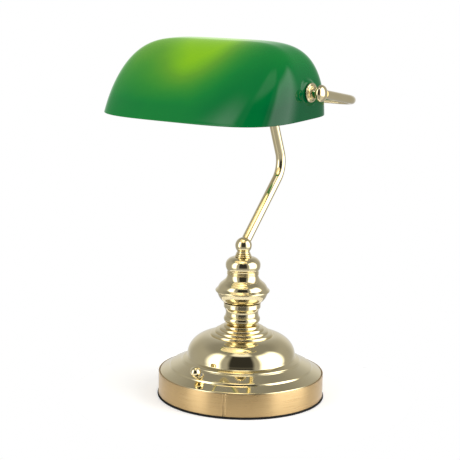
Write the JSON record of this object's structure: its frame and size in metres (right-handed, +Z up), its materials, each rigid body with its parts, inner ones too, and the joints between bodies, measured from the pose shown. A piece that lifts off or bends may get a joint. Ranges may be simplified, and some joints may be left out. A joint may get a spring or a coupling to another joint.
{
  "type": "banker desk lamp",
  "caption": "Brass desk lamp with a weighted round base, bent stem, U-shaped yoke and a long green glass shade that tilts.",
  "frame": {"origin": "centre of the underside of the foot pad, on the surface the lamp stands on", "axes": "+Z up along the column, -Y towards the front of the lamp, +X towards the right end of the shade as seen from the front"},
  "size_m": [0.2388, 0.2092, 0.3595],
  "materials": {
    "polished_brass": "polished and lacquered",
    "brushed_brass": "brushed round the base",
    "plated_steel": "zinc plated",
    "cast_iron": "raw casting",
    "rubber": "matt",
    "green_glass": "glossy green outside, white inside",
    "opal_glass": "satin opal",
    "ivory_plastic": "moulded",
    "porcelain": "glazed",
    "black_glass": "glossy",
    "switch_plastic": "moulded",
    "flex_sheath": "PVC sheath"
  },
  "bodies": {
    "stand": {"foot_pad": "rubber", "base_plate": "plated_steel", "base_weight": "cast_iron", "base_band": "brushed_brass", "base_cover": "polished_brass", "tie_tube": "plated_steel", "tie_nut": "plated_steel", "tie_washer": "plated_steel", "spacer_sleeve": "plated_steel", "column_vase": "polished_brass", "column_bowl": "polished_brass", "column_bell": "polished_brass", "column_ring": "polished_brass", "column_shoulder": "polished_brass", "column_collar": "polished_brass", "finial_ball": "polished_brass", "stem_tube": "polished_brass", "yoke_tee": "polished_brass", "yoke_tube": "polished_brass", "yoke_knob_left": "polished_brass", "yoke_knob_right": "polished_brass", "spindle_left": "polished_brass", "spindle_right": "polished_brass", "rosette_left": "polished_brass", "rosette_right": "polished_brass", "washer_left": "plated_steel", "washer_right": "plated_steel", "nut_left": "polished_brass", "nut_right": "polished_brass", "spindle_cap": "polished_brass", "holder_cap": "ivory_plastic", "holder_core": "porcelain", "holder_contacts": "polished_brass", "holder_skirt": "ivory_plastic", "bulb_cap": "plated_steel", "bulb_contact": "black_glass", "bulb_glass": "opal_glass", "switch_body": "switch_plastic", "switch_bush": "plated_steel", "switch_nut": "polished_brass", "switch_pin": "plated_steel", "cord_grommet": "rubber", "terminal_block": "ivory_plastic", "earth_screw": "plated_steel", "inner_flex": "flex_sheath"},
    "shade": {"shade": "green_glass", "gasket_left": "rubber", "gasket_right": "rubber"},
    "switch_lever": {"switch_lever": "polished_brass", "lever_ball": "polished_brass"}
  },
  "joints": [
    {"name": "shade_tilt", "type": "hinge", "parent": "stand", "child": "shade", "pos_m": [0, -0.04575, 0.31524], "axis": [1, 0, 0], "range_deg": [-40, 35]},
    {"name": "switch_toggle", "type": "hinge", "parent": "stand", "child": "switch_lever", "pos_m": [-0.00229, -0.0656, 0.02919], "axis": [0.9994, -0.0349, 0], "range_deg": [-28, 0]}
  ]
}
